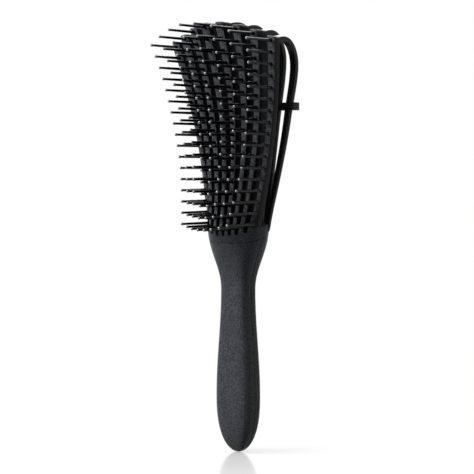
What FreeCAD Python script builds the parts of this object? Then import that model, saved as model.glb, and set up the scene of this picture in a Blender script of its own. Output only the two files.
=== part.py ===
import FreeCAD
import Part
import math
import os

from FreeCAD import Placement, Rotation, Vector

# Detangling hair brush. A two-shell handle holds the tang of a collar. Eight arms stand on the
# collar, each a bar with a row of pins, hinged at its root and held by a bow spring that arches
# over the top of the bar and plugs into the back of the collar. A guide bar links the springs.
# Millimetres. +Z runs along the brush to the head, the pins point to -Y, X goes across.
# The origin is the middle of the grip.

# Handle, heights measured from the butt
handle_length = 117.7
grip_height = 58.0
belly_height = 31.0
belly_half_width = 12.8
belly_half_depth = 7.4
waist_height = 90.0
waist_half_width = 9.6
waist_half_depth = 6.2
grip_squareness = 2.8
butt_fullness = 2.5
shell_wall = 2.2
butt_wall = 4.0
reveal_width = 0.4
reveal_depth = 0.5
joint_tilt = 11.0
joint_reach = 4.0

# Handle insides: cross ribs round the tang, pegs and bosses that register the two shells
rib_thickness = 1.6
rib_drops = (8.0, 30.0)
tang_peg_drop = 14.0
lower_peg_heights = (24.0, 56.0)
peg_radius = 1.5
peg_reach = 3.0
boss_radius = 2.9
boss_floor = 0.4

# Collar, heights measured from the middle of its joint with the handle
collar_height = 7.8
collar_half_width = 18.0
collar_half_depth = 12.7
collar_squareness = 2.5
collar_wall = 3.2
collar_floor = 3.6
tang_length = 38.0
tang_half_width = 5.4
tang_half_depth = 3.4
tang_squareness = 4.0

# Arms: pivots on the collar, counted from -X to +X
arm_count = 8
outer_root_offset = 15.6
outer_lean = 10.5
pivot_height = 2.9
root_rise = 2.8
bar_root_thickness = 6.0
bar_waist_thickness = 3.0
bar_tip_thickness = 4.0
bar_root_width = 2.7
bar_tip_width = 6.2
bar_corner = 1.3
bar_head = 1.8
notch_width = 1.7
notch_drop = 1.4
horn_drop = 0.75
swing_room = 2.0

# Front line of the bars: depth in front of the brush axis, middle and outer arms
middle_waist_depth = 0.0
outer_waist_depth = -1.0
middle_tip_depth = 22.6
outer_tip_depth = 13.6
tip_depth_power = 1.3

# Pins
pin_rows = 17
middle_extra_rows = 1
lowest_pin_rise = 2.2
highest_pin_rise = 110.6
crown_drop = 9.0
crown_power = 1.65
pin_length = 18.4
pin_root_radius = 0.75
pin_neck_radius = 0.6
pin_ball_radius = 0.8
pin_seat = 1.8
dimple_radius = 1.1
dimple_depth = 0.3
low_pin_extra = 2.6
low_extra_rows = 5.0
high_pin_extra = 1.2
high_extra_rows = 2.5

# Bow springs
bow_rise = 1.4
bow_drop = 0.25
bow_shoulder = 17.0
bow_tip_width = 4.2
bow_root_width = 2.7
bow_tip_thickness = 2.6
bow_root_thickness = 1.9
back_line = 11.4
foot_length = 4.2
foot_proud = 0.2

# Shape of a bow from the bar to its foot, as shares of its depth and of its heights
arch_depth_shares = (0.0, 0.12, 0.32, 0.56, 0.78, 0.93, 1.0)
arch_rise_shares = (0.0, 0.80, 1.0, 0.30, 0.0, 0.0, 0.0)
arch_drop_shares = (0.0, 0.0, 0.0, 0.08, 0.31, 0.62, 1.0)
strip_height_shares = (1.0, 0.82, 0.56, 0.30, 0.0)
strip_depth_shares = (1.0, 0.87, 0.52, 0.17, 0.0)

# Guide bar, height measured from the joint
guide_height = 71.0
guide_tall = 4.2
guide_spine = 2.4
guide_overhang = 4.2
guide_lip = 0.7
guide_grip = 0.25
guide_end_radius = 1.6

# Clearances
hinge_gap = 0.12
side_gap = 0.50
bow_gap = 0.15
seat_gap = 0.02
plug_gap = 0.05
slot_gap = 0.12
tang_gap = 0.10
peg_gap = 0.05
overrun = 20.0

# Loft stations, as shares of the belly height, of belly to waist and of waist to joint
butt_shares = (0.012, 0.05, 0.13, 0.27, 0.50, 0.75)
grip_shares = (0.0, 0.25, 0.50, 0.75)
neck_shares = (0.0, 0.20, 0.40, 0.60, 0.80, 1.0)
collar_shares = (0.0, 0.25, 0.50, 0.75, 1.0)
section_points = 32

joint_z = handle_length - grip_height
butt_z = -grip_height


def ease(share):
    """Smooth step from 0 to 1 with level ends."""
    return (1 - math.cos(math.pi * share)) / 2


def mix(first, last, share):
    return first + (last - first) * share


def body_section(height):
    """Half width, half depth and squareness of the outer surface at a height above the butt."""
    if height < belly_height:
        drop = (belly_height - height) / belly_height
        swell = math.sqrt(1 - drop ** butt_fullness)
        return belly_half_width * swell, belly_half_depth * swell, grip_squareness
    if height < waist_height:
        share = ease((height - belly_height) / (waist_height - belly_height))
        half_width = mix(belly_half_width, waist_half_width, share)
        return half_width, mix(belly_half_depth, waist_half_depth, share), grip_squareness
    share = ease((height - waist_height) / (handle_length + collar_height - waist_height))
    half_width = mix(waist_half_width, collar_half_width, share)
    half_depth = mix(waist_half_depth, collar_half_depth, share)
    return half_width, half_depth, mix(grip_squareness, collar_squareness, share)


def oval(half_width, half_depth, squareness, z):
    """Closed superellipse at height z, its seam at the back."""
    points = []
    for step in range(section_points):
        angle = math.pi / 2 + 2 * math.pi * step / section_points
        c = math.cos(angle)
        s = math.sin(angle)
        x = half_width * math.copysign(abs(c) ** (2 / squareness), c)
        y = half_depth * math.copysign(abs(s) ** (2 / squareness), s)
        points.append(Vector(x, y, z))
    curve = Part.BSplineCurve()
    curve.interpolate(points, PeriodicFlag=True)
    return Part.Wire(curve.toShape())


def body_loft(heights, inset):
    """Solid through the outer surface's sections, drawn in by inset."""
    wires = []
    for height in heights:
        half_width, half_depth, squareness = body_section(height)
        wires.append(oval(half_width - inset, half_depth - inset, squareness, butt_z + height))
    return Part.makeLoft(wires, True, False)


def handle_heights(lowest):
    """Loft stations from lowest to above the collar joint."""
    stations = [belly_height * share for share in butt_shares]
    stations += [mix(belly_height, waist_height, share) for share in grip_shares]
    stations += [mix(waist_height, handle_length + joint_reach, share) for share in neck_shares]
    return [lowest] + [height for height in stations if height > lowest]


def block(x_low, x_high, y_low, y_high, z_low, z_high):
    corner = Vector(x_low, y_low, z_low)
    return Part.makeBox(x_high - x_low, y_high - y_low, z_high - z_low, corner)


def rod(radius, x, y_start, y_end, z):
    """Cylinder along Y."""
    way = 1 if y_end > y_start else -1
    return Part.makeCylinder(radius, abs(y_end - y_start), Vector(x, y_start, z), Vector(0, way, 0))


def joint_slab(low, high):
    """Slab between two heights above the joint's plane, which rises towards the back."""
    wide = collar_half_width + overrun
    slab = block(-wide, wide, -wide, wide, low, high)
    slab.Placement = Placement(Vector(0, 0, joint_z), Rotation(Vector(1, 0, 0), joint_tilt))
    return slab


def tang_prism(grow, bottom_z, top_z):
    wire = oval(tang_half_width + grow, tang_half_depth + grow, tang_squareness, bottom_z)
    return Part.Face(wire).extrude(Vector(0, 0, top_z - bottom_z))


def half_oval(half_width, half_depth, squareness, side, z):
    """Half of a superellipse on one side of Y = 0, closed by a straight line."""
    points = []
    for step in range(section_points // 2 + 1):
        angle = 2 * math.pi * step / section_points
        c = math.cos(angle)
        s = abs(math.sin(angle))
        x = half_width * math.copysign(abs(c) ** (2 / squareness), c)
        points.append(Vector(x, side * half_depth * s ** (2 / squareness), z))
    points[0].y = 0
    points[-1].y = 0
    curve = Part.BSplineCurve()
    curve.interpolate(points, InitialTangent=Vector(0, side, 0), FinalTangent=Vector(0, -side, 0))
    return Part.Wire([curve.toShape(), Part.makeLine(points[-1], points[0])])


def handle_half(side, lowest):
    """Solid half of the handle's outer shape."""
    wires = []
    for height in handle_heights(lowest):
        half_width, half_depth, squareness = body_section(height)
        wires.append(half_oval(half_width, half_depth, squareness, side, butt_z + height))
    return Part.makeLoft(wires, True, False)


def handle_shells():
    """Front and rear handle shells, parted on the plane Y = 0."""
    lowest = belly_height * butt_shares[0]
    wide = collar_half_width + overrun
    skin = body_loft(handle_heights(lowest), reveal_depth)
    parting = block(-wide, wide, -reveal_width / 2, reveal_width / 2, butt_z, joint_z + joint_reach)
    reveals = [parting.cut(skin), joint_slab(-reveal_width, 0).cut(skin), joint_slab(0, overrun)]

    pegs = [(joint_z - tang_peg_drop, tang_half_depth + tang_gap)]
    pegs += [(butt_z + height, 0) for height in lower_peg_heights]
    kept = []
    for drop in rib_drops:
        rib_z = joint_z - drop
        rib = block(-wide, wide, -wide, wide, rib_z - rib_thickness, rib_z)
        kept.append(rib.cut(tang_prism(tang_gap, rib_z - overrun, rib_z + overrun)))
    for peg_z, boss_end in pegs:
        kept += [rod(boss_radius, 0, side * boss_end, side * wide, peg_z) for side in (-1, 1)]
    hollow = body_loft(handle_heights(butt_wall), shell_wall).cut(kept)

    front = handle_half(-1, lowest).cut([hollow] + reveals)
    rear = handle_half(1, lowest).cut([hollow] + reveals)
    holes = [rod(peg_radius + peg_gap, 0, overrun, -end - peg_reach - boss_floor, z) for z, end in pegs]
    studs = [rod(peg_radius, 0, end + shell_wall, -end - peg_reach, z) for z, end in pegs]
    return front.cut(holes), rear.fuse(studs)


class Arm:
    """Place and outline values of one arm: x' across it, y fore and aft, z' up along its lean."""

    def __init__(self, number):
        self.number = number
        self.offset = (2 * number - arm_count - 1) / (arm_count - 1)
        lean_tangent = self.offset * math.tan(math.radians(outer_lean))
        self.lean = math.atan(lean_tangent)
        curve = self.offset ** 2
        rise = root_rise * curve
        self.pivot_z = joint_z + pivot_height + rise
        self.pivot_x = self.offset * outer_root_offset + lean_tangent * rise
        self.place = Placement(Vector(self.pivot_x, 0, self.pivot_z),
                               Rotation(Vector(0, 1, 0), math.degrees(self.lean)))
        self.is_left_end = number == 1
        self.is_right_end = number == arm_count
        is_middle = abs(2 * number - arm_count - 1) == 1
        self.pins = pin_rows + middle_extra_rows if is_middle else pin_rows
        self.lowest_pin = lowest_pin_rise / math.cos(self.lean)
        top = highest_pin_rise - crown_drop * abs(self.offset) ** crown_power - rise
        self.highest_pin = top / math.cos(self.lean)
        self.length = self.highest_pin + bar_head
        self.root_front = -self.collar_surface(self.pivot_x, self.pivot_z)
        self.root_middle = self.root_front + bar_root_thickness / 2
        self.waist_front = -mix(middle_waist_depth, outer_waist_depth, curve)
        self.tip_front = -mix(middle_tip_depth, outer_tip_depth, abs(self.offset) ** tip_depth_power)
        self.rim = (joint_z + collar_height - self.pivot_z) / math.cos(self.lean)
        self.guide = (joint_z + guide_height - self.pivot_z) / math.cos(self.lean)
        foot_x = self.pivot_x + self.rim * math.sin(self.lean)
        self.foot_back = self.collar_surface(foot_x, joint_z + collar_height) + foot_proud

    def collar_surface(self, x, z):
        """Half depth of the collar's outer surface at x."""
        half_width, half_depth, squareness = body_section(z - butt_z)
        return half_depth * (1 - (abs(x) / half_width) ** squareness) ** (1 / squareness)

    def front(self, along):
        """Y of the bar's front face at a distance along the arm from its pivot."""
        t = along / self.length
        return (1 - t) ** 2 * self.root_front + 2 * t * (1 - t) * self.waist_front + t ** 2 * self.tip_front

    def pivot(self):
        return self.place.multVec(Vector(0, self.root_middle, 0))

    def axis(self):
        return self.place.Rotation.multVec(Vector(1, 0, 0))

    def pin_steps(self):
        step = (self.highest_pin - self.lowest_pin) / (self.pins - 1)
        return [self.lowest_pin + step * row for row in range(self.pins)]

    def pin_exposed(self, row):
        """Length of a pin in front of its bar: longer low on the end arms, and in the top rows."""
        high = high_pin_extra * max(0, 1 - (self.pins - 1 - row) / high_extra_rows)
        if self.is_left_end or self.is_right_end:
            return pin_length + high + low_pin_extra * max(0, 1 - row / low_extra_rows)
        return pin_length + high

    def back(self, along):
        share = along / self.length
        root_back = self.root_front + bar_root_thickness
        waist_back = self.waist_front + bar_waist_thickness
        tip_back = self.tip_front + bar_tip_thickness
        return (1 - share) ** 2 * root_back + 2 * share * (1 - share) * waist_back + share ** 2 * tip_back

    def head_slope(self):
        """Forward slope of the bar's back where the bow leaves it."""
        fall = self.waist_front + bar_waist_thickness - self.tip_front - bar_tip_thickness
        return 2 * fall / self.length

    def head_upright(self):
        return math.cos(math.atan(self.head_slope()))

    def bow_width(self, along):
        return mix(bow_root_width, bow_tip_width, along / self.length)

    def bow_thickness(self, along):
        return mix(bow_root_thickness, bow_tip_thickness, min(along / self.length, 1))

    def bow_line(self):
        """Middle line of the bow spring in the arm's own plane, from the bar to the foot."""
        start_z = self.length - bow_tip_thickness / 2 - bow_drop
        start_y = self.back(start_z) + bow_gap / self.head_upright()
        top_y = back_line - self.bow_thickness(self.guide) / 2
        foot_y = self.foot_back - self.bow_thickness(self.rim) / 2
        points = []
        for depth, rise, drop in zip(arch_depth_shares, arch_rise_shares, arch_drop_shares):
            z = start_z + bow_rise * rise - bow_shoulder * drop
            points.append(Vector(0, mix(start_y, top_y, depth), z))
        for height, depth in zip(strip_height_shares, strip_depth_shares):
            points.append(Vector(0, mix(foot_y, top_y, depth), mix(self.rim, self.guide, height)))
        points.append(Vector(0, foot_y, self.rim - foot_length))
        return points


def smooth_curve(points):
    curve = Part.BSplineCurve()
    curve.interpolate(points)
    return curve


def bar_taper(root_width, tip_width, low_z, high_z, corner):
    """Prism along Y that is as wide as the arm's piece at each height, with rounded top corners."""
    low = root_width / 2
    high = tip_width / 2
    bend = corner * (1 - math.sqrt(0.5))
    far = -overrun - middle_tip_depth
    points = [Vector(x, far, z) for x, z in (
        (-low, low_z), (low, low_z), (high, high_z - corner), (high - bend, high_z - bend),
        (high - corner, high_z), (corner - high, high_z), (bend - high, high_z - bend),
        (-high, high_z - corner))]
    edges = [
        Part.makeLine(points[0], points[1]),
        Part.makeLine(points[1], points[2]),
        Part.Arc(points[2], points[3], points[4]).toShape(),
        Part.makeLine(points[4], points[5]),
        Part.Arc(points[5], points[6], points[7]).toShape(),
        Part.makeLine(points[7], points[0]),
    ]
    return Part.Face(Part.Wire(edges)).extrude(Vector(0, 2 * abs(far), 0))


def arm_bar(arm):
    """Bar of one arm: a bowed strip with a round heel at its pivot and a socket for each pin."""
    half_width = bar_tip_width
    radius = bar_root_thickness / 2

    def edge(root_y, waist_y, tip_y):
        curve = Part.BezierCurve()
        curve.setPoles([
            Vector(-half_width, root_y, 0),
            Vector(-half_width, waist_y, arm.length / 2),
            Vector(-half_width, tip_y, arm.length),
        ])
        return curve.toShape()

    root_back = arm.root_front + bar_root_thickness
    tip_back = arm.tip_front + bar_tip_thickness
    front = edge(arm.root_front, arm.waist_front, arm.tip_front)
    back = edge(root_back, arm.waist_front + bar_waist_thickness, tip_back)
    heel_front = Vector(-half_width, arm.root_front, 0)
    heel_back = Vector(-half_width, root_back, 0)
    heel = Part.Arc(heel_front, Vector(-half_width, arm.root_middle, -radius), heel_back).toShape()
    top = Part.makeLine(Vector(-half_width, arm.tip_front, arm.length),
                        Vector(-half_width, tip_back, arm.length))
    outline = Part.Wire(Part.__sortEdges__([front, top, back, heel]))
    profile = Part.Face(outline).extrude(Vector(2 * half_width, 0, 0))
    bar = profile.common(bar_taper(bar_root_width, bar_tip_width, -radius, arm.length, bar_corner))
    sockets = []
    for along in arm.pin_steps():
        face_y = arm.front(along)
        outside_y = face_y - bar_tip_thickness
        sockets.append(rod(pin_root_radius + seat_gap, 0, outside_y, face_y + pin_seat, along))
        sockets.append(rod(dimple_radius, 0, outside_y, face_y + dimple_depth, along))
    bar = bar.cut(sockets)
    bar.Placement = arm.place
    return bar


def pin(exposed):
    """One pin along -Y: a seat in the bar, a tapered stem and a ball tip."""
    ball_y = exposed - pin_ball_radius
    neck_y = ball_y - math.sqrt(pin_ball_radius ** 2 - pin_neck_radius ** 2)
    points = [Vector(radius, -y, 0) for radius, y in (
        (0, -pin_seat), (pin_root_radius, -pin_seat), (pin_root_radius, 0), (pin_neck_radius, neck_y),
        (pin_ball_radius, ball_y), (0, exposed))]
    edges = [Part.makeLine(points[index], points[index + 1]) for index in range(3)]
    edges.append(Part.Arc(points[3], points[4], points[5]).toShape())
    edges.append(Part.makeLine(points[5], points[0]))
    return Part.Face(Part.Wire(edges)).revolve(Vector(0, 0, 0), Vector(0, 1, 0), 360)


def pin_row(arm):
    """All pins of one arm, seated in the sockets of its bar."""
    pins = []
    for row, along in enumerate(arm.pin_steps()):
        seat = arm.place.multVec(Vector(0, arm.front(along), along))
        pins.append(pin(arm.pin_exposed(row)).translated(seat))
    return Part.makeCompound(pins)


def bow_spring(arm):
    """Bow spring of one arm: leaves the back of the bar's head, arches over and runs down to the collar."""
    line = arm.bow_line()
    curve = smooth_curve(line)
    outer = []
    inner = []
    for point in line:
        tangent = curve.tangent(curve.parameter(point))[0]
        normal = Vector(0, tangent.z, -tangent.y)
        if point is line[0]:
            upright = arm.head_upright()
            normal = Vector(0, arm.head_slope() * upright, -upright)
        half = arm.bow_thickness(point.z) / 2
        outer.append(point - normal * half)
        inner.append(point + normal * half)
    edges = [
        smooth_curve(outer).toShape(),
        Part.makeLine(outer[-1], inner[-1]),
        smooth_curve(inner).toShape(),
        Part.makeLine(inner[0], outer[0]),
    ]
    flat = Part.Face(Part.Wire(Part.__sortEdges__(edges)))
    flat.translate(Vector(-bow_tip_width, 0, 0))
    bow = flat.extrude(Vector(2 * bow_tip_width, 0, 0))
    low_z = arm.rim - foot_length - bow_tip_thickness
    high_z = arm.length + bow_rise + 2 * bow_tip_thickness
    root_width = arm.bow_width(low_z)
    bow = bow.common(bar_taper(root_width, arm.bow_width(high_z), low_z, high_z, bow_tip_width / 4))
    bow.Placement = arm.place
    return bow


def notch_prism(depth):
    """Round-bottomed slot that opens upwards, its bottom arc centred on the origin."""
    half = notch_width / 2
    left = Vector(-half, -depth, 0)
    right = Vector(half, -depth, 0)
    up = Vector(0, 0, overrun)
    edges = [
        Part.Arc(left, Vector(0, -depth, -half), right).toShape(),
        Part.makeLine(right, right + up),
        Part.makeLine(right + up, left + up),
        Part.makeLine(left + up, left),
    ]
    return Part.Face(Part.Wire(edges)).extrude(Vector(0, depth, 0))


def collar(arms):
    """Collar: a flared cup with a hinge stub for each bar, a pocket for each bow and the tang."""
    lowest = handle_length - joint_reach
    heights = [mix(lowest, handle_length + collar_height, share) for share in collar_shares]
    cup = body_loft(heights, 0).cut(joint_slab(-overrun, 0))
    rim_z = joint_z + collar_height
    half_width, half_depth, squareness = body_section(handle_length + collar_height)
    well = oval(half_width - collar_wall, half_depth - collar_wall, squareness, joint_z + collar_floor)
    cup = cup.cut(Part.Face(well).extrude(Vector(0, 0, collar_height)))

    wide = collar_half_depth + overrun
    cutters = []
    for arm in arms:
        half = bar_root_width / 2 + side_gap
        left = -overrun if arm.is_left_end else -half
        right = overrun if arm.is_right_end else half
        radius = bar_root_thickness / 2
        seat_end = Vector(left, arm.root_middle, 0)
        seat = Part.makeCylinder(radius + hinge_gap, right - left, seat_end, Vector(1, 0, 0))
        room = block(left, right, -wide, arm.root_middle + radius + swing_room, -horn_drop, overrun)
        foot = arm.bow_width(arm.rim) / 2 + plug_gap
        foot_front = arm.foot_back - arm.bow_thickness(arm.rim) - plug_gap
        pocket = block(-foot, foot, foot_front, wide, arm.rim - foot_length - plug_gap, overrun)
        for cutter in (seat.fuse(room), pocket):
            cutter.Placement = arm.place
            cutters.append(cutter)

    for left, right in zip(arms, arms[1:]):
        bottom_x = (left.pivot_x + right.pivot_x) / 2
        bottom_z = (left.pivot_z + right.pivot_z) / 2 - notch_drop + notch_width / 2
        lean = math.degrees((left.lean + right.lean) / 2)
        notch = notch_prism(wide)
        notch.Placement = Placement(Vector(bottom_x, 0, bottom_z), Rotation(Vector(0, 1, 0), lean))
        cutters.append(notch)
    cup = cup.cut(cutters)

    tang = tang_prism(0, joint_z - tang_length, joint_z + collar_floor)
    peg_hole = rod(peg_radius + peg_gap, 0, -wide, wide, joint_z - tang_peg_drop)
    return cup.fuse(tang).cut(peg_hole).removeSplitter()


def guide_bar(arms):
    """Straight bar behind the bows, with a slot for each bow and small lips that hold it in."""
    guide_z = joint_z + guide_height
    middle = arms[arm_count // 2]
    bow_front = back_line - middle.bow_thickness(middle.guide)
    outer_x = max(arm.place.multVec(Vector(0, 0, arm.guide)).x for arm in arms)
    reach = outer_x + guide_overhang
    front_y = bow_front - guide_lip
    back_y = back_line + slot_gap + guide_spine
    bar = block(-reach, reach, front_y, back_y, guide_z - guide_tall / 2, guide_z + guide_tall / 2)
    upright = [edge for edge in bar.Edges if abs(edge.Vertexes[0].Z - edge.Vertexes[1].Z) > guide_tall / 2]
    bar = bar.makeFillet(guide_end_radius, upright)
    slots = []
    for arm in arms:
        half = arm.bow_width(arm.guide) / 2 + slot_gap
        thickness = arm.bow_thickness(arm.guide)
        slot_front = back_line - thickness - slot_gap
        slot = block(-half, half, slot_front, back_line + slot_gap, -guide_tall, guide_tall)
        mouth_half = half - guide_grip
        mouth = block(-mouth_half, mouth_half, front_y - overrun, back_line, -guide_tall, guide_tall)
        for cutter in (slot, mouth):
            base = arm.place.multVec(Vector(0, 0, arm.guide))
            cutter.Placement = Placement(base, arm.place.Rotation)
            slots.append(cutter)
    return bar.cut(slots)


def build():
    arms = [Arm(number) for number in range(1, arm_count + 1)]
    front_shell, rear_shell = handle_shells()
    nodes = {
        "handle_front_shell": front_shell,
        "handle_rear_shell": rear_shell,
        "head_collar": collar(arms),
        "guide_bar": guide_bar(arms),
    }
    for arm in arms:
        nodes["arm_bar_%d" % arm.number] = arm_bar(arm)
        nodes["pin_row_%d" % arm.number] = pin_row(arm)
        nodes["bow_spring_%d" % arm.number] = bow_spring(arm)
    return nodes


def main():
    os.makedirs("parts", exist_ok=True)
    for name, shape in build().items():
        shape.exportStep("parts/%s.step" % name)
        box = shape.BoundBox
        print(name, len(shape.Solids), shape.isValid(), round(shape.Volume),
              "X %.1f %.1f Y %.1f %.1f Z %.1f %.1f" % (
                  box.XMin, box.XMax, box.YMin, box.YMax, box.ZMin, box.ZMax))


if __name__ == "__main__":
    main()
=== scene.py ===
import bpy
import bmesh
import math
import numpy as np
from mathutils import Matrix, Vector


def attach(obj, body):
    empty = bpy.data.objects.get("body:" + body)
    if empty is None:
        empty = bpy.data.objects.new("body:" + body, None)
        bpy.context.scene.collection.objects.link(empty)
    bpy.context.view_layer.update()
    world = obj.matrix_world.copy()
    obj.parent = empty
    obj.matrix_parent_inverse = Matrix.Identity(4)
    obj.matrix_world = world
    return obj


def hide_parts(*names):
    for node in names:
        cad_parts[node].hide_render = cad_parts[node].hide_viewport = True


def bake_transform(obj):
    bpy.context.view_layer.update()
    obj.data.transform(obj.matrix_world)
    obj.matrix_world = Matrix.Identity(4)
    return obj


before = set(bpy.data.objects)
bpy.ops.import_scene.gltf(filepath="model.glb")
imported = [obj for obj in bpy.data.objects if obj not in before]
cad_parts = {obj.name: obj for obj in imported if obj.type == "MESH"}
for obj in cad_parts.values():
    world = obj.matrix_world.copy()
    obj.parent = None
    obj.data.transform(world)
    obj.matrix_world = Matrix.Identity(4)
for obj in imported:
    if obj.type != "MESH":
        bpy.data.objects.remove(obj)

# The brush stands on its butt, pins to the front. Millimetres are used for every size of the
# pieces, and each mesh is turned into metres when it is made. The studio is set out in metres.
for spare in ("Cube", "Light", "Camera"):
    if spare in bpy.data.objects:
        bpy.data.objects.remove(bpy.data.objects[spare])
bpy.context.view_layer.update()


# Handle: two moulded shells of grained charcoal plastic, closed on each other along the sides
# of the grip. The moulding has soft lips, so the parting shows as a fine dark line. The top is
# cut on a slant, where the collar of the head sits.
butt_z = -58.0
butt_fullness = 2.5
joint_z = 59.7
joint_slope = math.tan(math.radians(11.0))
joint_gap = 0.08
belly_height, belly_half_width, belly_half_depth = 31.0, 12.4, 7.1
waist_height, waist_half_width, waist_half_depth = 90.0, 9.4, 6.0
neck_height = 100.0
rim_height, rim_half_width, rim_half_depth = 125.5, 18.0, 12.7
grip_squareness, rim_squareness = 4.4, 2.5
shell_wall = 2.2
lip_radius = 0.34
parting_gap = 0.06


def ease(share):
    return (1 - math.cos(math.pi * share)) / 2


def mix(first, last, share):
    return first + (last - first) * share


def body_section(height):
    """Half width, half depth and squareness of the moulding at a height above the butt."""
    if height < belly_height:
        below = (belly_height - height) / belly_height
        swell = math.sqrt(max(0.0, 1 - below ** butt_fullness))
        return belly_half_width * swell, belly_half_depth * swell, grip_squareness
    if height < waist_height:
        share = ease((height - belly_height) / (waist_height - belly_height))
        width = mix(belly_half_width, waist_half_width, share)
        return width, mix(belly_half_depth, waist_half_depth, share), grip_squareness
    share = ease(min(1.0, (height - waist_height) / (rim_height - waist_height)))
    width = mix(waist_half_width, rim_half_width, share)
    depth = mix(waist_half_depth, rim_half_depth, share)
    return width, depth, mix(grip_squareness, rim_squareness, share)


def joint_at(y):
    return joint_z + joint_slope * y


def lip(distance, radius):
    """How far a rounded lip draws a surface in at a distance from its edge."""
    if distance >= radius:
        return 0.0
    return radius - math.sqrt(max(0.0, radius ** 2 - (radius - distance) ** 2))


def piece(name, points, faces, finish, flat_angle):
    """Mesh object from millimetre points, smooth except over sharp edges."""
    weld_distance = 1e-7
    mesh = bpy.data.meshes.new(name)
    mesh.from_pydata([(x / 1000, y / 1000, z / 1000) for x, y, z in points], [], faces)
    tidy = bmesh.new()
    tidy.from_mesh(mesh)
    bmesh.ops.remove_doubles(tidy, verts=tidy.verts, dist=weld_distance)
    bmesh.ops.recalc_face_normals(tidy, faces=tidy.faces)
    tidy.to_mesh(mesh)
    tidy.free()
    mesh.shade_smooth()
    mesh.set_sharp_from_angle(angle=math.radians(flat_angle))
    mesh.materials.append(finish)
    made = bpy.data.objects.new(name, mesh)
    bpy.context.scene.collection.objects.link(made)
    return made


def skin(rings):
    """Points and faces that join equal closed rings one after another, with a cap on each end."""
    count = len(rings[0])
    points = [point for ring in rings for point in ring]
    faces = []
    for level in range(len(rings) - 1):
        for step in range(count):
            after = (step + 1) % count
            low = level * count
            faces.append((low + step, low + after, low + count + after, low + count + step))
    faces.append(tuple(reversed(range(count))))
    faces.append(tuple(range((len(rings) - 1) * count, len(rings) * count)))
    return points, faces


class Paint:
    """One output of a finish's nodes. Arithmetic on it adds Math nodes."""

    def __init__(self, tree, socket=None):
        self.tree = tree
        self.socket = socket

    def node(self, kind, settings, sockets, output=0):
        made = self.tree.nodes.new(kind)
        for name, value in settings.items():
            if name == "stops":
                ramp = made.color_ramp
                while len(ramp.elements) < len(value):
                    ramp.elements.new(1.0)
                for stop, (position, level) in zip(ramp.elements, value):
                    stop.position = position
                    stop.color = (level, level, level, 1)
            else:
                setattr(made, name, value)
        for name, value in sockets.items():
            if isinstance(value, Paint):
                self.tree.links.new(value.socket, made.inputs[name])
            else:
                made.inputs[name].default_value = value
        return Paint(self.tree, made.outputs[output] if made.outputs else None)

    def math(self, operation, first, second):
        return self.node("ShaderNodeMath", {"operation": operation}, {0: first, 1: second})

    def __add__(self, other):
        return self.math("ADD", self, other)

    def __sub__(self, other):
        return self.math("SUBTRACT", self, other)

    def __rsub__(self, other):
        return self.math("SUBTRACT", other, self)

    def __mul__(self, other):
        return self.math("MULTIPLY", self, other)

    __radd__ = __add__
    __rmul__ = __mul__

    def clamp(self):
        return self.node("ShaderNodeClamp", {}, {"Value": self})

    def noise(self, scale, detail, roughness):
        place = self.node("ShaderNodeTexCoord", {}, {}, "Object")
        return self.node("ShaderNodeTexNoise", {}, {"Vector": place, "Scale": scale,
                                                    "Detail": detail, "Roughness": roughness})

    def ramp(self, *stops):
        return self.node("ShaderNodeValToRGB", {"stops": stops}, {"Fac": self})

    def tint(self, low, high):
        """Colour between two colours, by this value."""
        return self.node("ShaderNodeMix", {"data_type": "RGBA"},
                         {"Factor": self, 6: (*low, 1), 7: (*high, 1)}, 2)


def new_finish(name):
    """Empty finish: its material, a Paint to draw nodes with, and its shader."""
    finish = bpy.data.materials.new(name)
    finish.use_nodes = True
    return finish, Paint(finish.node_tree), finish.node_tree.nodes["Principled BSDF"]


def moulded_plastic(name, dark, pale, grain_scale, grain_depth,
                    roughness, specular, fleck, painted_front_light=0.0):
    """Moulded plastic: a fine grain from the mould, cloudy patches, flecks and rubbed edges.
    With painted front light, faces to the front get a paler colour as if lit, and the others keep
    their black as painted shade."""
    finish, paint, shader = new_finish(name)
    cloud_scale, fleck_scale = 160.0, grain_scale * 1.6
    grain = paint.noise(grain_scale, detail=4.0, roughness=0.65)
    cloud = paint.noise(cloud_scale, detail=2.0, roughness=0.5)
    flecks = paint.noise(fleck_scale, detail=1.0, roughness=0.5).ramp((0.58, 0.0), (0.72, 1.0))
    edges = paint.node("ShaderNodeNewGeometry", {}, {}, "Pointiness")
    rubbed = edges.ramp((0.52, 0.0), (0.60, 1.0))
    specks = grain.ramp((0.36, 0.0), (0.66, 1.0))
    tone = cloud * 0.25 + specks * 0.45 + flecks * fleck + rubbed * 0.06
    # Painted light: faces to the front are painted paler as if lit from the front, and faces turned
    # away keep the dark colour as painted shade.
    if painted_front_light:
        # 1 on faces within 28 degrees of the front, fading to 0 at 61 degrees.
        normal = paint.node("ShaderNodeNewGeometry", {}, {}, "Normal")
        facing = paint.node("ShaderNodeSeparateXYZ", {}, {0: normal}, "Y") * -2.5 - 1.2
        tone = tone * (1 - painted_front_light + painted_front_light * facing.clamp())
    colour = tone.tint(dark, pale)
    gloss = roughness + (grain - 0.5) * 0.16 + (cloud - 0.5) * 0.10 - rubbed * 0.06
    bump = paint.node("ShaderNodeBump", {},
                      {"Strength": 0.55, "Distance": grain_depth, "Height": grain})
    links = finish.node_tree.links
    links.new(colour.socket, shader.inputs["Base Color"])
    links.new(gloss.socket, shader.inputs["Roughness"])
    links.new(bump.socket, shader.inputs["Normal"])
    shader.inputs["Specular IOR Level"].default_value = specular
    return finish


grained_charcoal = moulded_plastic(
    "grained_charcoal", dark=(0.0150, 0.0160, 0.0198), pale=(0.138, 0.1465, 0.1700),
    grain_scale=1100.0, grain_depth=0.00010, roughness=0.30, specular=0.08, fleck=0.46)


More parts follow.
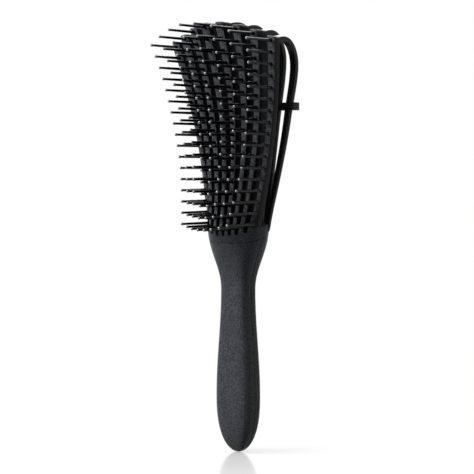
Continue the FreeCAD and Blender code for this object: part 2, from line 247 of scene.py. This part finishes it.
def half_outline(squareness):
    """Points of half an outline, side to side, as shares of the half width and half depth."""
    side_depths = (0.004, 0.012, 0.024, 0.04, 0.06, 0.09, 0.13,
                   0.19, 0.27, 0.36, 0.46, 0.56, 0.66)
    face_widths = (0.84, 0.79, 0.73, 0.66, 0.58, 0.50, 0.42, 0.34, 0.26, 0.17, 0.09, 0.0)
    shares = []
    for depth in side_depths:
        shares.append(((1 - depth ** squareness) ** (1 / squareness), depth))
    for width in face_widths:
        shares.append((width, (1 - width ** squareness) ** (1 / squareness)))
    return shares + [(-across, deep) for across, deep in reversed(shares[:-1])]


def shell_ring(side, height, share):
    """Closed outline of one shell: its outer face, then its inner face.
    The share runs from 0 to 1 up the neck, where the ring turns on to the slant of the joint.
    A point's section and level depend on each other, so they are settled in three passes."""
    outer = []
    inner = []
    for index in range(len(half_outline(grip_squareness))):
        level = height
        for _ in range(3):
            half_width, half_depth, squareness = body_section(level)
            across, deep = half_outline(squareness)[index]
            top = joint_at(side * half_depth * deep) - joint_gap - butt_z
            level = mix(height, top, share)
        draw_in = lip(half_depth * deep - parting_gap, lip_radius)
        draw_in = max(draw_in, lip(top - level, lip_radius))
        draw_in = min(draw_in, 0.6 * min(half_width, half_depth))
        wall = min(shell_wall, 0.5 * half_depth)
        for face, inset in ((outer, draw_in), (inner, wall)):
            face.append(((half_width - inset) * across,
                         side * max(parting_gap, (half_depth - inset) * deep), butt_z + level))
    return outer + inner[::-1]


butt_steps, grip_steps, neck_steps = 26, 40, 24
lowest_level = 0.02
neck_crowding = 1.25
handle_levels = [belly_height * (1 - math.cos(math.pi / 2 * step / butt_steps)) + lowest_level
                 for step in range(butt_steps)]
handle_levels += [mix(belly_height, neck_height, step / grip_steps)
                  for step in range(grip_steps + 1)]
for name, side in (("handle_front_shell", -1), ("handle_rear_shell", 1)):
    rings = [shell_ring(side, level, 0.0) for level in handle_levels]
    for step in range(1, neck_steps + 1):
        share = 1 - (1 - step / neck_steps) ** neck_crowding
        rings.append(shell_ring(side, neck_height, share))
    shell = piece(name + ".skin", *skin(rings), grained_charcoal, flat_angle=50.0)
    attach(shell, "handle")
    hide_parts(name)


# Arms: where the eight bars stand that fan out of the collar, each with one row of pins. The two
# end bars are slim and the inner ones deeper behind, so that no light shows between them.
arm_count = 8
pin_rows = 17
longest_arms = (4, 5)
fan_lean = math.tan(math.radians(10.5))
root_spread, root_lift, root_rise = 15.6, 2.9, 2.8
lowest_pin = 2.2
crown_height, crown_drop, crown_power = 110.6, 9.0, 1.65
tip_margin = 2.3
tip_round = 1.3
guide_lift = 71.0
waist_shift = 1.0
middle_tip_reach, end_tip_reach, tip_power = 22.6, 13.6, 1.3
foot_proud = 0.2
root_depth = 6.0
end_waist_depth, end_tip_depth = 2.9, 4.2
inner_waist_depth, inner_tip_depth = 6.8, 7.9
root_width, tip_width = 2.35, 5.5
turn_length = 18.0
turn_limit = 0.985
pin_length = 18.4
crown_pin_extra, crown_pin_rows = 1.2, 2.5
root_pin_extra, root_pin_rows = 2.6, 5.0


def collar_depth(x, z):
    """How far in front of the middle plane, or behind it, the collar's face stands."""
    half_width, half_depth, squareness = body_section(z - butt_z)
    return half_depth * (1 - (abs(x) / half_width) ** squareness) ** (1 / squareness)


class Arm:
    """Where one arm stands: x across it, y fore and aft, u up along it from its root."""

    def __init__(self, number):
        self.number = number
        self.at_end = number in (1, arm_count)
        self.offset = (2 * number - arm_count - 1) / (arm_count - 1)
        spread = abs(self.offset)
        curve = self.offset ** 2
        lean = self.offset * fan_lean
        self.sine, self.cosine = math.sin(math.atan(lean)), math.cos(math.atan(lean))
        rise = root_rise * curve
        self.root_x = self.offset * root_spread + lean * rise
        self.root_z = joint_z + root_lift + rise
        self.pins = pin_rows + 1 if number in longest_arms else pin_rows
        self.lowest = lowest_pin / self.cosine
        self.highest = (crown_height - crown_drop * spread ** crown_power - rise) / self.cosine
        self.length = self.highest + tip_margin
        self.rim = (butt_z + rim_height - self.root_z) / self.cosine
        self.guide = (joint_z + guide_lift - self.root_z) / self.cosine
        self.root_front = -collar_depth(self.root_x, self.root_z)
        self.waist_front = waist_shift * curve
        self.tip_front = -mix(middle_tip_reach, end_tip_reach, spread ** tip_power)
        foot_x = self.root_x + self.rim * self.sine
        self.foot_back = collar_depth(foot_x, butt_z + rim_height) + foot_proud

    def place(self, x, y, u):
        return (self.root_x + x * self.cosine + u * self.sine, y,
                self.root_z + u * self.cosine - x * self.sine)

    def bend(self, root, waist, tip, u):
        share = u / self.length
        return (1 - share) ** 2 * root + 2 * share * (1 - share) * waist + share ** 2 * tip

    def front(self, u):
        return self.bend(self.root_front, self.waist_front, self.tip_front, u)

    def back(self, u):
        waist = end_waist_depth if self.at_end else inner_waist_depth
        tip = end_tip_depth if self.at_end else inner_tip_depth
        return self.bend(self.root_front + root_depth, self.waist_front + waist,
                         self.tip_front + tip, u)

    def width(self, u):
        return mix(root_width, tip_width, u / self.length)

    def turn(self, x, u):
        """How far the front turns with the corner of the collar, fading out up the arm."""
        share = min(max(u / turn_length, 0.0), 1.0)
        half_width = body_section(self.root_z - butt_z)[0]
        reach = min(abs(self.root_x + x * self.cosine), turn_limit * half_width)
        turned = -self.root_front - collar_depth(reach, self.root_z)
        return turned * (1 - share) ** 2 * (1 + 2 * share)

    def pin_heights(self):
        step = (self.highest - self.lowest) / (self.pins - 1)
        return [self.lowest + step * row for row in range(self.pins)]

    def pin_reach(self, row):
        """Length of a pin: the ones at the crown, and low on the end arms, are longer."""
        below_crown = self.pins - 1 - row
        reach = pin_length + crown_pin_extra * max(0.0, 1 - below_crown / crown_pin_rows)
        if self.at_end:
            reach += root_pin_extra * max(0.0, 1 - row / root_pin_rows)
        return reach


arms = [Arm(number) for number in range(1, arm_count + 1)]


# Collar: the flared cup at the foot of the head, in the same grained charcoal as the handle.
# Round-bottomed notches divide its front wall between the roots of the arms, and its back wall
# stands higher, to take the feet of the springs.
notch_half = 1.0
notch_drop = 1.8
notch_margin = 1.4 * notch_half
root_cover = 0.5
collar_wall = 2.6
collar_foot_lip = 0.18
collar_rim_radius = 0.5
collar_inner_edge = 0.3
collar_floor, collar_floor_edge, collar_floor_slant = 2.6, 3.2, 0.6
reference_z = 64.0


def collar_columns():
    """Columns round the collar as (share of half width, front or back, height of the rim)."""
    half_width = body_section(reference_z - butt_z)[0]
    centers = [arm.root_x + (reference_z - arm.root_z) * arm.sine / arm.cosine for arm in arms]
    middles = [(before + after) / 2 for before, after in zip(centers, centers[1:])]
    heights = [arm.root_z + root_cover for arm in arms]
    half_notch = (0.3, 0.55, 0.75, 0.9, 0.98, 1.0, 1.06)
    notch = [-share for share in reversed(half_notch)] + [0.0] + list(half_notch)
    front = []
    for index, middle in enumerate(middles):
        bottom = (arms[index].root_z + arms[index + 1].root_z) / 2 - notch_drop
        for share in notch:
            if abs(share) > 1:
                height = heights[index] if share < 0 else heights[index + 1]
            else:
                height = bottom + notch_half - math.sqrt(1 - share ** 2) * notch_half
            front.append((middle + share * notch_half, height))
        if index + 1 < len(middles):
            for x in (middle + notch_margin, centers[index + 1], middles[index + 1] - notch_margin):
                front.append((x, heights[index + 1]))

    corner = (0.955, 0.975, 0.988, 0.996)
    left_x = [-share * half_width for share in reversed(corner)]
    left_x += [mix(-corner[0] * half_width, middles[0] - notch_margin, share)
               for share in (0.3, 0.65, 1.0)]
    left = [(x, heights[0]) for x in left_x]
    right = [(-x, height) for x, height in reversed(left)]
    columns = [(x / half_width, -1, height) for x, height in left + front + right]

    rim = butt_z + rim_height
    low = heights[-1]
    back = (0.996, 0.988, 0.975, 0.955, 0.93, 0.90, 0.86, 0.81,
            0.75, 0.68, 0.6, 0.5, 0.4, 0.3, 0.2, 0.1)
    side_rise, corner_rises = 0.15, (0.3, 0.55, 0.8)
    right_back = [(1.0, 0, mix(low, rim, side_rise))]
    for index, share in enumerate(back):
        rise = corner_rises[index] if index < len(corner_rises) else 1.0
        right_back.append((share, 1, mix(low, rim, rise)))
    left_back = [(-share, way, height) for share, way, height in reversed(right_back)]
    return columns + right_back + [(0.0, 1, rim)] + left_back


def collar_ring(columns, draw_in, climb=0.0, drop=0.0, floor=None):
    """One ring round the collar, drawn in from its outside. It lies at a share of the climb from
    the joint to the rim, less a drop, or at a floor's height above the joint.
    A point's section and level depend on each other, so they are settled in four passes."""
    ring = []
    for share, way, height in columns:
        z = reference_z
        for _ in range(4):
            half_width, half_depth, squareness = body_section(z - butt_z)
            deep = max(0.0, 1 - abs(share) ** squareness) ** (1 / squareness)
            y = way * (half_depth - draw_in) * deep
            z = mix(joint_at(y), height - drop, climb) if floor is None else joint_at(y) + floor
        ring.append(((half_width - draw_in) * share, y, z))
    return ring


columns = collar_columns()
rings = [collar_ring(columns, collar_foot_lip), collar_ring(columns, 0.0, climb=0.02)]
rings += [collar_ring(columns, 0.0, climb=step / 10, drop=collar_rim_radius)
          for step in range(1, 11)]
for turn in (0.4, 0.8, 1.2, math.pi / 2):
    rings.append(collar_ring(columns, collar_rim_radius * (1 - math.cos(turn)), climb=1.0,
                             drop=collar_rim_radius * (1 - math.sin(turn))))
rings.append(collar_ring(columns, collar_wall - collar_inner_edge, climb=1.0))
rings.append(collar_ring(columns, collar_wall, climb=1.0, drop=collar_inner_edge))
rings.append(collar_ring(columns, collar_wall, floor=collar_floor_edge))
rings.append(collar_ring(columns, collar_wall + collar_floor_slant, floor=collar_floor))
collar = piece("head_collar.skin", *skin(rings), grained_charcoal, flat_angle=38.0)
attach(collar, "handle")
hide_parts("head_collar")


# Arm bars: black nylon with painted light on the fronts. Faces to the front are painted paler as if
# lit, and the sides keep their black as painted shade. The front face is slightly crowned with soft
# corners and has a shallow dimple round each pin. The root runs down into the collar without a
# step.
# The bars' fronts get painted light: paler as if lit, with the sides left dark as painted shade.
satin_black = moulded_plastic(
    "satin_black", dark=(0.0040, 0.0044, 0.0056), pale=(0.2300, 0.2400, 0.2640),
    grain_scale=1000.0, grain_depth=0.00006, roughness=0.33, specular=0.06, fleck=0.45,
    painted_front_light=0.85)
dimple_radius = 1.15
dimple_depth = 0.26
face_points = 13
face_crown = 0.10
face_proud = 0.02
root_sunk = 0.10
root_front_slant, root_back_slant = 0.25, 0.05
bar_front_corner, bar_rear_corner = 0.5, 0.4
tip_thinning = 0.45
station_gap = 0.1
corner_turns = (0.22, 0.48, 0.76, 1.05, 1.32, math.pi / 2)
rear_turns = (0.0, 0.52, 1.05, math.pi / 2)


def bar_outline(arm, u, narrow, thin):
    """Rounded outline of a bar across its length: front face, right side, back, left side."""
    half = arm.width(max(u, 0.0)) / 2 - narrow
    front = arm.front(max(u, 0.0)) + thin - face_proud
    back = arm.back(max(u, 0.0)) - thin
    if u < 0:
        cup = collar_depth(arm.root_x + u * arm.sine, arm.root_z + u * arm.cosine)
        front = root_sunk - cup - root_front_slant * u
        back += root_back_slant * u
    corner = min(bar_front_corner, 0.45 * half, 0.42 * (back - front))
    rear = min(bar_rear_corner, 0.40 * half, 0.42 * (back - front))
    outline = []
    for step in range(face_points):
        x = mix(-(half - corner), half - corner, step / (face_points - 1))
        outline.append((x, front + face_crown * (x / half) ** 2))
    edge_y = front + face_crown * ((half - corner) / half) ** 2
    side = [(half - corner + corner * math.sin(turn), edge_y + corner * (1 - math.cos(turn)))
            for turn in corner_turns]
    side += [(half - rear + rear * math.cos(turn), back - rear + rear * math.sin(turn))
             for turn in rear_turns]
    return outline + side + [(0.0, back)] + [(-x, y) for x, y in reversed(side)]


def bar_rings(arm):
    """Outlines of a bar from inside the collar up to its rounded tip, dimpled round the pins."""
    heights = arm.pin_heights()
    stations = [-3.4, -2.4, -1.4, -0.6, 0.2]
    for row, height in enumerate(heights):
        stations += [height + shift for shift in (-1.25, -1.05, -0.85, -0.6, -0.3, 0.0,
                                                  0.3, 0.6, 0.85, 1.05, 1.25)]
        if row + 1 < arm.pins:
            gap = heights[row + 1] - height
            stations += [height + gap * share for share in (0.36, 0.5, 0.64)]
    top = arm.length - tip_round
    cuts = [(u, 0.0, 0.0) for u in sorted(stations) if u < top - station_gap]
    for turn in (0.0, 0.3, 0.6, 0.9, 1.2, 1.42, math.pi / 2):
        drawn = tip_round * (1 - math.cos(turn))
        cuts.append((top + tip_round * math.sin(turn), drawn, tip_thinning * drawn))

    rear_start = face_points + len(corner_turns)
    rear_end = rear_start + 2 * len(rear_turns)
    rings = []
    for u, narrow, thin in cuts:
        ring = []
        for index, (x, y) in enumerate(bar_outline(arm, u, narrow, thin)):
            if index < rear_start or index > rear_end:
                y += arm.turn(x, u)
            if index < face_points:
                away = min(math.hypot(x, u - height) for height in heights)
                if away < dimple_radius:
                    y += dimple_depth * (1 - (away / dimple_radius) ** 2) ** 2
            ring.append(arm.place(x, y, u))
        rings.append(ring)
    return rings


for arm in arms:
    bar = piece("arm_bar_%d.skin" % arm.number, *skin(bar_rings(arm)), satin_black,
                flat_angle=45.0)
    middle = arm.root_front + root_depth / 2
    tuple(v / 1000 for v in arm.place(0, middle, -1.0))
    tuple(v / 1000 for v in arm.place(0, middle, 7.0))
    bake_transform(bar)
    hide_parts("arm_bar_%d" % arm.number)


# Pins: black nylon, each with a small flare where it leaves the bar, a tapered stem and a ball
# tip. The front of each ball is polished, by an attribute of the mesh that raises the coat there.
pin_black = moulded_plastic(
    "pin_black", dark=(0.0030, 0.0030, 0.0035), pale=(0.0080, 0.0080, 0.0090),
    grain_scale=1700.0, grain_depth=0.00002, roughness=0.16, specular=0.15, fleck=0.15)
polish = Paint(pin_black.node_tree).node(
    "ShaderNodeAttribute", {"attribute_name": "ball"}, {}, "Fac")
shader = pin_black.node_tree.nodes["Principled BSDF"]
pin_black.node_tree.links.new(polish.socket, shader.inputs["Coat Weight"])
shader.inputs["Coat IOR"].default_value = 2.3
shader.inputs["Coat Roughness"].default_value = 0.05
pin_sides = 16
flare = [(0.80, -0.9), (1.12, -0.32), (1.03, -0.14), (0.92, 0.08), (0.85, 0.45)]
flare_end = 1.0
stem_radius, neck_radius, ball_radius = 0.82, 0.66, 0.84
ball_start_radius = 0.67
ball_steps = 9
polish_length, polish_fade = 0.62, 0.3


def pin_profile(reach):
    """Radius and distance in front of the bar's face, root to tip."""
    centre = reach - ball_radius
    neck = centre - math.sqrt(ball_radius ** 2 - neck_radius ** 2)
    profile = flare + [(stem_radius, flare_end)]
    for share in (0.25, 0.5, 0.75, 1.0):
        profile.append((mix(stem_radius, neck_radius, share), mix(flare_end, neck - 0.25, share)))
    profile.append((ball_start_radius, neck - 0.02))
    start = math.acos(ball_start_radius / ball_radius)
    for step in range(1, ball_steps):
        turn = mix(-start, math.pi / 2, step / ball_steps)
        profile.append((ball_radius * math.cos(turn), centre + ball_radius * math.sin(turn)))
    profile.append((0.08, reach))
    return profile


pin_turns = [2 * math.pi * step / pin_sides for step in range(pin_sides)]
for arm in arms:
    points = []
    faces = []
    polished = []
    for row, height in enumerate(arm.pin_heights()):
        seat = arm.place(0, arm.front(height), height)
        rings = []
        reach = arm.pin_reach(row)
        for radius, ahead in pin_profile(reach):
            shine = min(max((ahead - reach + polish_length) / polish_fade, 0.0), 1.0)
            polished += [shine] * pin_sides
            rings.append([(seat[0] + radius * math.cos(turn), seat[1] - ahead,
                           seat[2] + radius * math.sin(turn)) for turn in pin_turns])
        pin_points, pin_faces = skin(rings)
        faces += [tuple(index + len(points) for index in face) for face in pin_faces]
        points += pin_points
    row_piece = piece("pin_row_%d.skin" % arm.number, points, faces, pin_black, flat_angle=60.0)
    row_piece.data.attributes.new("ball", "FLOAT", "POINT").data.foreach_set("value", polished)
    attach(row_piece, "arm_%d" % arm.number)
    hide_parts("pin_row_%d" % arm.number)


# Bow springs: the strip that carries on from the tip of each arm, arches back and runs down to
# the collar. Moulded flat with rounded edges.
spring_black = moulded_plastic(
    "spring_black", dark=(0.0080, 0.0085, 0.0100), pale=(0.0480, 0.0500, 0.0550),
    grain_scale=1200.0, grain_depth=0.00004, roughness=0.27, specular=0.15, fleck=0.35)
back_line = 10.6
bow_foot_thickness, bow_top_thickness = 1.9, 2.6
bow_foot_width, end_bow_width, inner_bow_width = 2.9, 4.5, 5.3
bow_rise, bow_shoulder = 0.7, 17.0
bow_start = 0.25
bow_foot = 4.2
bow_points = 150
bow_corner = 0.40
bow_end_points = 4
foot_narrowing, foot_thinning = 0.45, 0.35


def bow_thickness(arm, u):
    return mix(bow_foot_thickness, bow_top_thickness, min(u / arm.length, 1.0))


def bow_width(arm, u):
    top_width = end_bow_width if arm.at_end else inner_bow_width
    return mix(bow_foot_width, top_width, u / arm.length)


def bow_line(arm):
    """Points of the strip's middle line as fore-and-aft depth and height along the arm."""
    start_u = arm.length - tip_round - bow_start
    start_y = arm.back(start_u)
    slope = arm.back(start_u - 0.5) - arm.back(start_u + 0.5)
    top_y = back_line - bow_thickness(arm, arm.guide) / 2
    foot_y = arm.foot_back - bow_thickness(arm, arm.rim) / 2
    line = [(start_y - 2.0, start_u - 2.0 * slope), (start_y - 1.0, start_u - slope)]
    for depth, rise, drop in ((0.0, 0.0, 0.0), (0.12, 0.8, 0.0), (0.32, 1.0, 0.0),
                              (0.56, 0.3, 0.08), (0.78, 0.0, 0.31), (0.93, 0.0, 0.62),
                              (1.0, 0.0, 1.0)):
        line.append((mix(start_y, top_y, depth), start_u + bow_rise * rise - bow_shoulder * drop))
    for height, depth in ((1.0, 1.0), (0.82, 1.0), (0.56, 0.80), (0.30, 0.42), (0.0, 0.0)):
        line.append((mix(foot_y, top_y, depth), mix(arm.rim, arm.guide, height)))
    line.append((foot_y, arm.rim - bow_foot))
    return line


def smooth_line(line, count):
    """Even points on the natural cubic through a line's points."""
    knots = np.array(line)
    steps = np.sqrt((np.diff(knots, axis=0) ** 2).sum(axis=1))
    at = np.concatenate([[0.0], np.cumsum(steps)])
    size = len(at)
    matrix = np.zeros((size, size))
    target = np.zeros((size, 2))
    matrix[0, 0] = matrix[-1, -1] = 1.0
    for i in range(1, size - 1):
        matrix[i, i - 1:i + 2] = steps[i - 1], 2 * (steps[i - 1] + steps[i]), steps[i]
        target[i] = 6 * ((knots[i + 1] - knots[i]) / steps[i]
                         - (knots[i] - knots[i - 1]) / steps[i - 1])
    curve = np.linalg.solve(matrix, target)
    result = []
    for value in np.linspace(0.0, at[-1], count):
        i = min(int(np.searchsorted(at, value, side="right")) - 1, size - 2)
        left, right, span = at[i + 1] - value, value - at[i], steps[i]
        result.append(curve[i] * left ** 3 / (6 * span) + curve[i + 1] * right ** 3 / (6 * span)
                      + (knots[i] / span - curve[i] * span / 6) * left
                      + (knots[i + 1] / span - curve[i + 1] * span / 6) * right)
    return result


def strip_outline(half_width, half_thickness):
    """Outline across a strip, with rounded corners."""
    outline = []
    for across, deep, start in ((1, 1, 0.0), (-1, 1, 0.5), (-1, -1, 1.0), (1, -1, 1.5)):
        for step in range(5):
            turn = math.pi * (start + step / 8)
            outline.append((across * (half_width - bow_corner) + bow_corner * math.cos(turn),
                            deep * (half_thickness - bow_corner) + bow_corner * math.sin(turn)))
    return outline


for arm in arms:
    line = smooth_line(bow_line(arm), bow_points)
    rings = []
    for index, (y, u) in enumerate(line):
        before = line[max(index - 1, 0)]
        after = line[min(index + 1, len(line) - 1)]
        along = after - before
        along = along / np.linalg.norm(along)
        half_thickness = bow_thickness(arm, u) / 2
        half_width = bow_width(arm, u) / 2
        end = (len(line) - 1 - index) / bow_end_points
        if end < 1:
            rounding = 1 - math.sqrt(1 - (1 - end) ** 2)
            half_width -= foot_narrowing * rounding
            half_thickness -= foot_thinning * rounding
        rings.append([arm.place(x, y - deep * along[1], u + deep * along[0])
                      for x, deep in strip_outline(half_width, half_thickness)])
    bow = piece("bow_spring_%d.skin" % arm.number, *skin(rings), spring_black, flat_angle=50.0)
    "arm_%d" % arm.number
    tuple(v / 1000 for v in arm.place(0, 0, arm.guide + 3.0))
    tuple(v / 1000 for v in arm.place(0, 0, arm.length - 1.0))
    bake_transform(bow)
    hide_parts("bow_spring_%d" % arm.number)


# Guide bar: a straight comb of black nylon behind the strips. Each strip is snapped into a slot
# of the comb, and small lips at the mouth hold it there.
guide_z = joint_z + guide_lift
guide_half_tall = 2.1
guide_end = 1.5
guide_end_steps = 5
guide_lip = 0.5
slot_room = 0.12
guide_behind, guide_ahead, guide_overhang = 2.52, 0.7, 4.8
guide_back = back_line + guide_behind
guide_front = back_line - bow_thickness(arms[4], arms[4].guide) - guide_ahead
guide_reach = max(arm.place(0, 0, arm.guide)[0] for arm in arms) + guide_overhang


def guide_outline():
    """Comb outline as (x, y, lean), with the lean of the arm whose slot a point belongs to."""
    turns = [math.pi / 2 * step / guide_end_steps for step in range(guide_end_steps + 1)]
    inset = [(guide_end * (1 - math.sin(turn)), guide_end * (1 - math.cos(turn)))
             for turn in turns]
    outline = [(-guide_reach + across, guide_back - deep, 0.0) for across, deep in inset]
    outline += [(-guide_reach + across, guide_front + deep, 0.0)
                for across, deep in reversed(inset)]
    for arm in arms:
        x = arm.place(0, 0, arm.guide)[0]
        lean = arm.sine / arm.cosine
        half = bow_width(arm, arm.guide) / 2 + slot_room
        mouth = half - guide_lip
        slot_front = back_line - bow_thickness(arm, arm.guide) - slot_room
        slot_back = back_line + slot_room
        for across, y in ((-mouth, guide_front), (-mouth, slot_front), (-half, slot_front),
                          (-half, slot_back), (half, slot_back), (half, slot_front),
                          (mouth, slot_front), (mouth, guide_front)):
            outline.append((x + across, y, lean))
    outline += [(guide_reach - across, guide_front + deep, 0.0) for across, deep in inset]
    outline += [(guide_reach - across, guide_back - deep, 0.0)
                for across, deep in reversed(inset)]
    return outline


rings = [[(x + lean * rise, y, guide_z + rise) for x, y, lean in guide_outline()]
         for rise in (-guide_half_tall, guide_half_tall)]
guide = piece("guide_bar.skin", *skin(rings), spring_black, flat_angle=35.0)
soften = guide.modifiers.new("soft_edges", "BEVEL")
soften.width = 0.0002
soften.segments = 3
soften.limit_method = "ANGLE"
soften.angle_limit = math.radians(60.0)
soften.use_clamp_overlap = True
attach(guide, "handle")
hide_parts("guide_bar")


# Studio: a white floor that keeps a faint shadow and a faint mirror of the butt, a white room
# and four soft lamps. The large lamp is on the left, with a weak one on the right, one behind
# and one overhead.
lamp_aim = Vector((0, 0, 0.06))


def outward(azimuth, elevation):
    """Direction out of the brush: azimuth from the front round to the right, in degrees."""
    turn, tilt = math.radians(azimuth), math.radians(elevation)
    return Vector((math.sin(turn) * math.cos(tilt), -math.cos(turn) * math.cos(tilt),
                   math.sin(tilt)))


def area_lamp(name, azimuth, elevation, distance, width, height, power):
    lamp = bpy.data.lights.new(name, "AREA")
    lamp.shape = "RECTANGLE"
    lamp.size = width
    lamp.size_y = height
    lamp.energy = power
    made = bpy.data.objects.new(name, lamp)
    bpy.context.scene.collection.objects.link(made)
    away = outward(azimuth, elevation)
    made.location = lamp_aim + away * distance
    made.rotation_euler = away.to_track_quat("Z", "Y").to_euler()


area_lamp("left_lamp", -42.0, 36.0, distance=1.00, width=0.80, height=0.80, power=15.0)
area_lamp("right_lamp", 105.0, 25.0, distance=0.90, width=0.50, height=0.70, power=1.0)
area_lamp("rear_lamp", 200.0, 36.0, distance=0.90, width=0.80, height=0.50, power=4.5)
area_lamp("top_lamp", 0.0, 84.0, distance=0.90, width=0.50, height=0.50, power=5.0)


def in_sight(paint):
    """1 for a ray from the camera, a reflection or a see-through piece, 0 for other light."""
    seen = paint.node("ShaderNodeLightPath", {}, {}, "Is Camera Ray")
    seen = seen + paint.node("ShaderNodeLightPath", {}, {}, "Is Glossy Ray")
    seen = seen + paint.node("ShaderNodeLightPath", {}, {}, "Is Transmission Ray")
    return seen.clamp()


white = (1, 1, 1, 1)
white_room = bpy.data.worlds.new("white_room")
white_room.use_nodes = True
room = Paint(white_room.node_tree)
for spare in list(white_room.node_tree.nodes):
    white_room.node_tree.nodes.remove(spare)
fill = room.node("ShaderNodeBackground", {}, {"Color": white, "Strength": 0.03})
backdrop = room.node("ShaderNodeBackground", {}, {"Color": white, "Strength": 1.0})
sky = room.node("ShaderNodeMixShader", {}, {0: in_sight(room), 1: fill, 2: backdrop})
room.node("ShaderNodeOutputWorld", {}, {"Surface": sky})
bpy.context.scene.world = white_room

floor_z, floor_half = -0.0581, 6
shadow_share, mirror_share = 0.6, 0.50
floor_finish, paint, shader = new_finish("white_floor")
floor_finish.node_tree.nodes.remove(shader)
looked_at = paint.node("ShaderNodeLightPath", {}, {}, "Is Camera Ray")
place = paint.node("ShaderNodeTexCoord", {}, {}, "Object")
away = paint.node("ShaderNodeVectorMath", {"operation": "LENGTH"}, {0: place}, "Value")
near = (1.15 - away * 7.0).clamp()  # 1 under the butt, fading to 0 at 16 cm
matt = paint.node("ShaderNodeBsdfDiffuse", {}, {"Color": (0.9, 0.9, 0.9, 1)})
shade = paint.node("ShaderNodeBsdfDiffuse", {}, {"Color": (0.07, 0.07, 0.07, 1)})
glow = paint.node("ShaderNodeEmission", {}, {"Color": white, "Strength": 1.0})
mirror = paint.node("ShaderNodeBsdfGlossy", {}, {"Color": white, "Roughness": 0.15})
ground = paint.node("ShaderNodeMixShader", {}, {0: 1.0 - near * shadow_share, 1: matt, 2: glow})
ground = paint.node("ShaderNodeMixShader", {},
                    {0: looked_at * near * mirror_share, 1: ground, 2: mirror})
ground = paint.node("ShaderNodeMixShader", {}, {0: in_sight(paint), 1: shade, 2: ground})
output = [node for node in floor_finish.node_tree.nodes if node.type == "OUTPUT_MATERIAL"][0]
floor_finish.node_tree.links.new(ground.socket, output.inputs["Surface"])
floor_mesh = bpy.data.meshes.new("floor")
floor_mesh.from_pydata([(-floor_half, -floor_half, floor_z), (floor_half, -floor_half, floor_z),
                        (floor_half, floor_half, floor_z), (-floor_half, floor_half, floor_z)],
                       [], [(0, 1, 2, 3)])
floor_mesh.materials.append(floor_finish)
floor = bpy.data.objects.new("floor", floor_mesh)
bpy.context.scene.collection.objects.link(floor)

picture_side = 474
camera_aim = Vector((0, 0, 0.059))
camera_distance = 0.80
view = bpy.data.cameras.new("camera")
view.lens = 111.3
view.sensor_width = 36.0
view.shift_x = -1.2 / picture_side
view.shift_y = 2.0 / picture_side
camera = bpy.data.objects.new("camera", view)
bpy.context.scene.collection.objects.link(camera)
away = outward(42.0, 3.0)
camera.location = camera_aim + away * camera_distance
camera.rotation_euler = away.to_track_quat("Z", "Y").to_euler()
bpy.context.scene.camera = camera
bpy.context.scene.view_settings.view_transform = "Standard"
